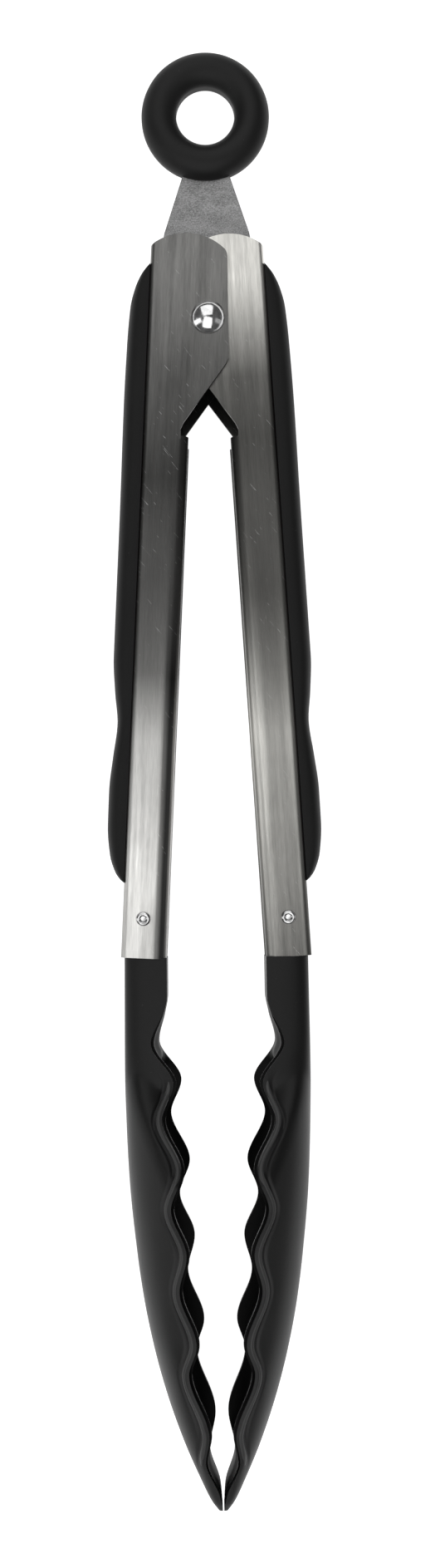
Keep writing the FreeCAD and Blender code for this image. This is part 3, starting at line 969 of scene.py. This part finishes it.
@dataclass
class ScoopTips:
    """Both tips: a stiff shell and a smooth lining with the gripping lip."""

    shop: Workshop
    form: ScoopForm = field(default_factory=ScoopForm)
    rows: int = 330
    columns: int = 40
    rim_steps: int = 14
    rim_band: float = 3.4
    shell_wall: float = 1.7
    liner_wall: float = 1.7
    bead_width: float = 0.85
    bead_height: float = 0.3
    groove_depth: float = 0.3
    strip_radius: float = 0.72
    strip_sink: float = 0.35
    strip_gap: float = 1.0
    strip_start: float = 175.0
    strip_rings: int = 260
    strip_taper: float = 20.0
    nose_solid: float = 8.0
    bead_start: float = 176.0
    shell_hollow: Tuple[float, float] = (169.0, 278.0)
    liner_hollow: Tuple[float, float] = (172.0, 270.0)
    hollow_run: float = 9.0
    liner_start: float = 160.5
    liner_nose: float = 1.4
    liner_gap: float = 0.06

    def spread(self, length: float) -> List[float]:
        """Places along a section of a given length, close together at the rims."""
        band = min(self.rim_band, length * 0.3)
        near = evenly(0.0, band, self.rim_steps)
        middle = evenly(band, length - band, self.columns)
        far = evenly(length - band, length, self.rim_steps)
        return near + middle[1:-1] + far

    def bead(self, down: float) -> Callable[[float], float]:
        """Raised bead along the shell's rim, with a shallow groove behind it."""
        nose = ease((self.form.end - self.nose_solid - down) / 10.0)
        share = ease((down - self.bead_start) / 8.0) * nose

        def height(gap: float) -> float:
            """Height over the plain form at a distance from the rim."""
            crest = math.exp(-((gap - self.bead_width) / (self.bead_width * 0.62)) ** 2)
            groove = math.exp(-((gap - self.bead_width * 2.7) / 0.42) ** 2)
            return share * (self.bead_height * crest - self.groove_depth * groove)

        return height

    def strip(self, front: bool) -> bmesh.types.BMesh:
        """Round bead laid along one rim of a shell, thinned out at its ends."""

        def beside_rim(length: float) -> List[float]:
            """Place of the bead along a section of a given length."""
            return [length - self.strip_gap if front else self.strip_gap]

        centres = []
        for down in evenly(self.strip_start, self.form.end - self.nose_solid,
                           self.strip_rings):
            edge = self.form.rim(down)
            centres += self.form.section(down, edge, self.strip_sink, beside_rim)
        rings = []
        last = len(centres) - 1
        for i, centre in enumerate(centres):
            run = (centres[min(i + 1, last)] - centres[max(i - 1, 0)]).normalized()
            first = Vector((0, 0, 1.0 if front else -1.0))
            first = (first - run * first.dot(run)).normalized()
            second = run.cross(first)
            share = min(ease(i / self.strip_taper), ease((last - i) / self.strip_taper))
            radius = self.strip_radius * max(share, 0.05)
            rings.append([centre + radius * (first * math.cos(a) + second * math.sin(a))
                          for a in evenly(0.0, math.tau, 17)])
        bm = bmesh.new()
        grid_surface(bm, len(rings), len(rings[0]), lambda r, c: rings[r][c])
        bmesh.ops.remove_doubles(bm, verts=bm.verts, dist=1e-5)
        bmesh.ops.holes_fill(bm, edges=[e for e in bm.edges if e.is_boundary], sides=0)
        return bm

    def hollow_share(self, down: float, span: Tuple[float, float]) -> float:
        """How much of the full hollow is open at a distance down the tip."""
        start, end = span
        return min(ease((down - start) / self.hollow_run), ease((end - down) / self.hollow_run))

    def shell_rows(self) -> Tuple[List[List[Vector]], List[List[Vector]]]:
        """Outer and inner rows of the shell."""
        outer = []
        inner = []
        for down in evenly(self.form.start, self.form.end, self.rows):
            edge = self.form.rim(down)
            outer.append(self.form.section(down, edge, 0.0, self.spread, self.bead(down)))
            inset = self.form.section(down, edge, self.shell_wall, self.spread)
            share = self.hollow_share(down, self.shell_hollow)
            inner.append(self.hollowed(outer[-1], inset, edge, share))
        return outer, inner

    def liner_rows(self) -> Tuple[List[List[Vector]], List[List[Vector]]]:
        """Outer and inner rows of the lining."""
        outer = []
        inner = []
        skin = self.shell_wall + self.liner_gap
        for down in evenly(self.liner_start, self.form.end - self.liner_nose, self.rows):
            edge = self.form.lip(down)
            drop = self.form.front_lip(down) - edge
            row = self.form.section(down, edge, skin, self.spread)
            inset = self.form.section(down, edge, skin + self.liner_wall, self.spread)
            share = self.hollow_share(down, self.liner_hollow)
            outer.append(self.lowered(row, edge, drop))
            inner.append(self.lowered(self.hollowed(row, inset, edge, share), edge, drop))
        return outer, inner

    def lowered(self, row: Sequence[Vector], edge: float, drop: float) -> List[Vector]:
        """Row with its front half pushed back towards the web near the lip."""
        made = []
        for point in row:
            near = ease((point.z - 1.0) / 5.0) * ease(1.0 - (-point.x - edge) / 5.0)
            made.append(Vector((point.x - drop * near, point.y, point.z)))
        return made

    def hollowed(self, row: Sequence[Vector], inset: Sequence[Vector], edge: float,
                 share: float) -> List[Vector]:
        """Inner row between the flat face across the rims and the full hollow."""
        made = []
        for outside, inside in zip(row, inset):
            flat = Vector((-edge, outside.y, inside.z))
            made.append(flat.lerp(inside, share))
        return made

    def skin(self, outer: List[List[Vector]], inner: List[List[Vector]]) -> bmesh.types.BMesh:
        """Closed wall between an outer and an inner surface."""
        bm = bmesh.new()
        for rows in (outer, inner):
            grid_surface(bm, len(rows), len(rows[0]), lambda r, c, rows=rows: rows[r][c])
        rim = [edge for edge in bm.edges if edge.is_boundary]
        bmesh.ops.bridge_loops(bm, edges=rim)
        return bm

    def mould_beads(self, side: Side, finish: SoftBlack, material: bpy.types.Material) -> None:
        """Lay the two rim beads of one side."""
        for front in (True, False):
            name = side.value + ("_front" if front else "_back") + "_rim_bead"
            self.shop.finish(self.strip(front), name, material, finish.slot, side.body,
                             [side.value + "_tip_shell"], side)

    def mould_shell(self, side: Side, faces: Tuple[List[List[Vector]], ...]) -> None:
        """Mould the shell of one side."""
        # the shell's nylon has shade painted on its neck
        nylon = ScoopNylon("tip_nylon_" + side.value, "tip_nylon", tone=0.015,
                           roughness=0.45, grain=0.3, grain_scale=3600.0, dust=0.3,
                           specular=0.22, side=side, pivot=self.shop.pivot.point(0, 0, 0))
        piece = self.shop.finish(self.skin(*faces), side.value + "_tip_shell_moulded",
                                 nylon.make(), nylon.slot, side.body,
                                 [side.value + "_tip_shell"], side)
        ease_edges(piece, 0.25)

    def mould_lining(self, side: Side, faces: Tuple[List[List[Vector]], ...],
                     finish: SoftBlack, material: bpy.types.Material) -> None:
        """Mould the lining of one side, with its lower lip always to the front."""
        lining = self.skin(*faces)
        if side is Side.RIGHT:
            flip = Matrix.Scale(-1.0, 4, (0, 0, 1))
            bmesh.ops.transform(lining, matrix=flip, verts=lining.verts)
        piece = self.shop.finish(lining, side.value + "_tip_liner_moulded", material,
                                 finish.slot, side.body, [side.value + "_tip_liner"], side)
        ease_edges(piece, 0.45, 3)

    def build(self) -> None:
        """Mould the beads, shells and linings of both tips."""
        # the rim beads are a lighter tone than the shell: a painted highlight along the rims
        bead = SoftBlack("tip_bead_painted_highlight", "tip_nylon", tone=0.036, roughness=0.42, grain=0.5,
                         grain_scale=3600.0, dust=0.0, specular=0.3)
        bead_highlight_finish = bead.make()
        silicone = SoftBlack("liner_silicone", "liner_silicone", tone=0.003, roughness=0.5,
                             grain=0.06, dust=0.0, specular=0.1)
        liner_finish = silicone.make()
        shell_faces = self.shell_rows()
        liner_faces = self.liner_rows()
        for side in Side:
            self.mould_beads(side, bead, bead_highlight_finish)
            self.mould_shell(side, shell_faces)
            self.mould_lining(side, liner_faces, silicone, liner_finish)


# ---------------------------------------------------------------- studio


@dataclass
class Studio:
    """Pale floor, soft lights and the camera above the tongs.

    The view height is the length seen from top to bottom at the pin's level.
    """

    pivot: PivotFrame
    distance: float = 513.0
    foot_x: float = -2.6
    foot_y: float = -137.0
    view_height: float = 375.15
    roll: float = 0.0132

    def camera(self) -> None:
        """Look straight down the pin's direction from above the arms."""
        data = bpy.data.cameras.new("camera")
        data.sensor_fit = "AUTO"
        data.sensor_width = 36.0
        data.lens = data.sensor_width * self.distance / self.view_height
        data.shift_x = 0.0098
        data.shift_y = 0.0742
        data.clip_start = 0.01
        data.clip_end = 20.0
        eye = bpy.data.objects.new("camera", data)
        forward = self.pivot.direction(0, 0, -1)
        up = self.pivot.direction(math.sin(self.roll), math.cos(self.roll), 0)
        right = forward.cross(up)
        turn = Matrix((right, up, -forward)).transposed()
        place = self.pivot.point(self.foot_x, self.foot_y, self.distance)
        eye.matrix_world = Matrix.Translation(place) @ turn.to_4x4()
        bpy.context.scene.collection.objects.link(eye)
        bpy.context.scene.camera = eye

    def floor(self) -> None:
        """Large pale floor under the tongs."""
        bm = bmesh.new()
        bmesh.ops.create_grid(bm, x_segments=2, y_segments=2, size=3.0)
        mesh = bpy.data.meshes.new("floor")
        bm.to_mesh(mesh)
        bm.free()
        bench = NodeBench.fresh("pale_floor")
        mesh.materials.append(bench.surface(Base_Color=grey(0.35), Roughness=0.9,
                                            Specular_IOR_Level=0.1,
                                            Emission_Color=grey(1.0),
                                            Emission_Strength=0.98))
        board = bpy.data.objects.new("floor", mesh)
        bpy.context.scene.collection.objects.link(board)

    def light(self, name: str, place: Sequence[float], aim: Sequence[float], size: float,
              size_y: float, power: float) -> None:
        """One soft rectangular light, places in metres in the row frame."""
        data = bpy.data.lights.new(name, "AREA")
        data.shape = "RECTANGLE"
        data.size = size
        data.size_y = size_y
        data.energy = power
        lamp = bpy.data.objects.new(name, data)
        lamp.location = place
        away = Vector(place) - Vector(aim)
        lamp.rotation_euler = away.to_track_quat("Z", "Y").to_euler()
        bpy.context.scene.collection.objects.link(lamp)

    def lights(self) -> None:
        """Soft boxes round the tongs and a pale sky."""
        world = bpy.data.worlds.new("studio")
        world.use_nodes = True
        world.node_tree.nodes["Background"].inputs[0].default_value = (1, 1, 1, 1)
        world.node_tree.nodes["Background"].inputs[1].default_value = 0.1
        bpy.context.scene.world = world
        self.light("left_box", (-0.75, -0.1, 0.2), (0, -0.1, 0), 0.3, 1.0, 1.5)
        self.light("right_box", (0.75, -0.1, 0.2), (0, -0.1, 0), 0.3, 1.0, 0.3)
        self.light("front_box", (-0.08, -0.44, 0.89), (0, 0.06, 0), 1.0, 1.25, 6.4)
        self.light("back_box", (-0.08, 0.744, 0.68), (0, 0.108, 0), 1.0, 1.1, 4.6)

    def tones(self) -> None:
        """Plain tone curve, so that white stays white and black stays black."""
        settings = bpy.context.scene.view_settings
        settings.view_transform = "Standard"
        settings.look = "None"

    def build(self) -> None:
        """Set up the camera, the floor and the lights."""
        self.tones()
        self.camera()
        self.floor()
        self.lights()


def main() -> None:
    """Build every piece of the tongs and the studio round them."""
    logging.basicConfig(level=logging.INFO, format="%(name)s: %(message)s")
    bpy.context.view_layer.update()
    pivot = PivotFrame.from_record(frame["record"])
    Studio(pivot).build()
    shop = Workshop(pivot)
    for part in (PivotRivet, TorsionSpring, PressedSteel, HangRing, Grips, TipRivets,
                 ScoopTips):
        part(shop).build()
    LOG.info("%d pieces made", len(shop.made))


if __name__ == "__main__":
    main()
